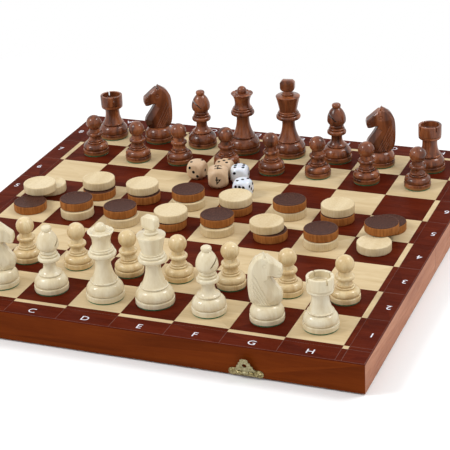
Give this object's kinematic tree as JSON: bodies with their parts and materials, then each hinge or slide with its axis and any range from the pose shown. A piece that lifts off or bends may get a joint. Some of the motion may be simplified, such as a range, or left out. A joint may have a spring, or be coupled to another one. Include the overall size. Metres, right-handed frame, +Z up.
{
  "type": "folding games compendium box",
  "caption": "Folding wooden chess, draughts and backgammon box, open as a board, with its chessmen, draughts and dice set out.",
  "frame": {"origin": "on the table under the middle of the open board, where the fold's axis crosses its centre line", "axes": "+X along the files from A to H, +Y along the ranks from white's side to brown's, +Z up"},
  "size_m": [0.35, 0.3574, 0.0858],
  "materials": {
    "front_rail": "satin",
    "end_rail": "satin",
    "plywood": "matte",
    "maple": "gloss",
    "mahogany": "gloss",
    "brass": "satin",
    "steel": "satin",
    "antique_brass": "satin",
    "white_wood": "gloss",
    "brown_wood": "gloss",
    "felt": "matte",
    "light_draught": "satin",
    "dark_draught": "satin",
    "dice_wood": "satin",
    "dice_white": "gloss"
  },
  "bodies": {
    "front_tray": {"front_outer_rail": "front_rail", "front_fold_rail": "end_rail", "front_left_rail": "end_rail", "front_right_rail": "end_rail", "front_panel": "plywood", "front_light_veneer": "maple", "front_dark_veneer": "mahogany", "front_light_points": "maple", "front_dark_points": "mahogany", "front_hinge_leaves": "brass", "hinge_pins": "steel", "front_hinge_screws": "brass", "latch_plates": "antique_brass", "latch_pins": "antique_brass", "latch_nails": "antique_brass"},
    "rear_tray": {"rear_outer_rail": "front_rail", "rear_fold_rail": "end_rail", "rear_left_rail": "end_rail", "rear_right_rail": "end_rail", "rear_panel": "plywood", "rear_light_veneer": "maple", "rear_dark_veneer": "mahogany", "rear_light_points": "maple", "rear_dark_points": "mahogany", "rear_hinge_leaves": "brass", "rear_hinge_screws": "brass", "keepers": "antique_brass", "keeper_nails": "antique_brass"},
    "left_tongue": {"left_tongue": "antique_brass"},
    "right_tongue": {"right_tongue": "antique_brass"},
    "white_men": {"white_pawns": "white_wood", "white_rooks": "white_wood", "white_knight_bases": "white_wood", "white_knight_heads": "white_wood", "white_bishops": "white_wood", "white_queen": "white_wood", "white_king": "white_wood", "white_king_finial": "white_wood", "white_felts": "felt"},
    "brown_men": {"brown_pawns": "brown_wood", "brown_rooks": "brown_wood", "brown_knight_bases": "brown_wood", "brown_knight_heads": "brown_wood", "brown_bishops": "brown_wood", "brown_queen": "brown_wood", "brown_king": "brown_wood", "brown_king_finial": "brown_wood", "brown_felts": "felt"},
    "draughts": {"light_draughts": "light_draught", "dark_draughts": "dark_draught"},
    "dice": {"wooden_dice": "dice_wood", "doubling_cube": "dice_wood", "white_dice": "dice_white"}
  },
  "joints": [
    {"name": "fold", "type": "hinge", "parent": "front_tray", "child": "rear_tray", "pos_m": [0, 0, 0], "axis": [-1, 0, 0], "range_deg": [0, 180]},
    {"name": "left_latch", "type": "hinge", "parent": "front_tray", "child": "left_tongue", "pos_m": [-0.096, -0.1764, 0.003], "axis": [1, 0, 0], "range_deg": [-9, 166]},
    {"name": "right_latch", "type": "hinge", "parent": "front_tray", "child": "right_tongue", "pos_m": [0.096, -0.1764, 0.003], "axis": [1, 0, 0], "range_deg": [-9, 166]},
    {"name": "lift_white_men", "type": "slide", "parent": "front_tray", "child": "white_men", "axis": [0, 0, 1], "range_m": [0, 0.08]},
    {"name": "lift_brown_men", "type": "slide", "parent": "rear_tray", "child": "brown_men", "axis": [0, 0, 1], "range_m": [0, 0.08]},
    {"name": "lift_draughts", "type": "slide", "parent": "front_tray", "child": "draughts", "axis": [0, 0, 1], "range_m": [0, 0.08]},
    {"name": "lift_dice", "type": "slide", "parent": "rear_tray", "child": "dice", "axis": [0, 0, 1], "range_m": [0, 0.08]}
  ]
}
